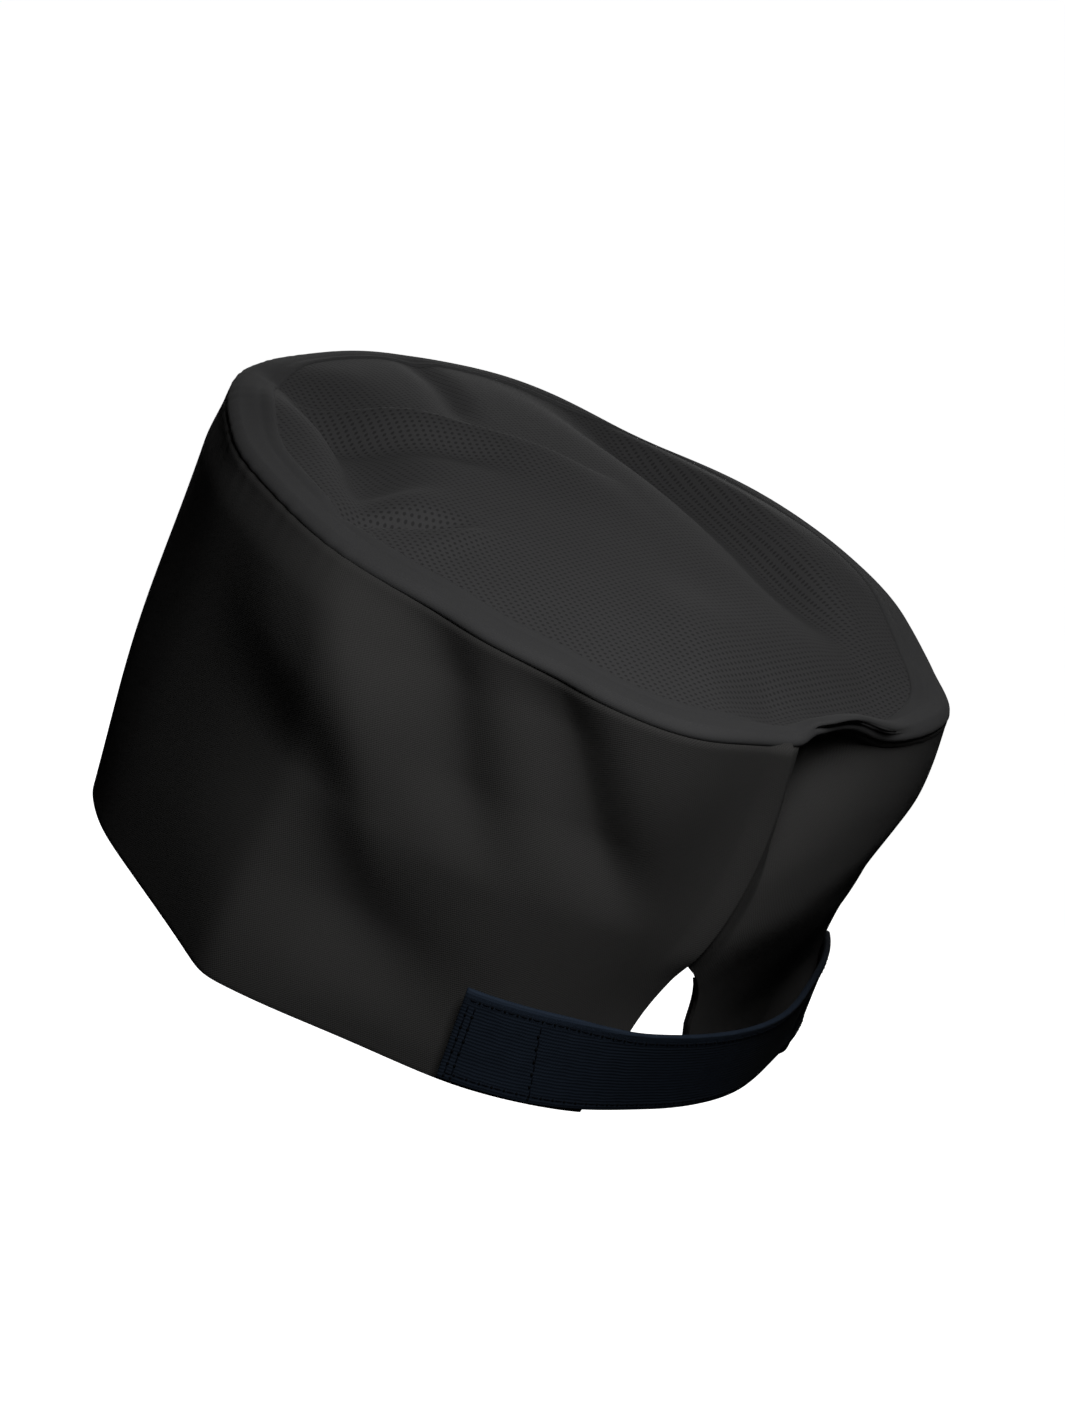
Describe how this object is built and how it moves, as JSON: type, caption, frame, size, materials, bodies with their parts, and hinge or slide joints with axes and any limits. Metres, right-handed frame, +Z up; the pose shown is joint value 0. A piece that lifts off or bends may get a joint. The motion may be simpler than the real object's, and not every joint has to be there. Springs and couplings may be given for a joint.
{
  "type": "kitchen skull cap",
  "caption": "Soft round kitchen cap with an upright cloth band, a flat mesh crown and a hook-and-loop strap across a notch at the back.",
  "frame": {"origin": "centre of the base on the surface the cap stands on", "axes": "+Z up, -Y the way the wearer faces, +Y the centre back with the strap, +X the wearer's left"},
  "size_m": [0.1774, 0.2086, 0.1085],
  "materials": {
    "twill": "matt charcoal twill",
    "micro_mesh": "matt knitted mesh with fine holes",
    "smooth_tape": "matt plain cloth",
    "towelling": "looped absorbent cloth",
    "strap_cloth": "doubled twill, very dark navy",
    "loop_pile": "fuzzy loop tape",
    "hook_tape": "tape with short stiff hooks",
    "thread": "polyester sewing thread",
    "satin_label": "satin ribbon, blank"
  },
  "bodies": {
    "cap": {"side_band": "twill", "sweatband": "towelling", "notch_facing_left": "smooth_tape", "notch_facing_right": "smooth_tape", "back_seam_tape": "smooth_tape", "care_label": "satin_label", "crown_panel": "micro_mesh", "crown_edge_strip": "smooth_tape", "crown_seam_binding": "smooth_tape", "loop_patch": "loop_pile", "strap_sewn_end": "strap_cloth", "strap_bar_tack_rear": "thread", "strap_bar_tack_front": "thread"},
    "strap": {"strap_bridge": "strap_cloth"},
    "tab": {"strap_tab": "strap_cloth", "hook_patch": "hook_tape"}
  },
  "joints": [
    {"name": "strap_swing", "type": "hinge", "parent": "cap", "child": "strap", "pos_m": [-0.06298, 0.07059, 0.0131], "axis": [0, 0, 1], "range_deg": [0, 100]},
    {"name": "strap_peel", "type": "hinge", "parent": "strap", "child": "tab", "pos_m": [0.02734, 0.09633, 0.0131], "axis": [0, 0, 1], "range_deg": [0, 120]}
  ]
}
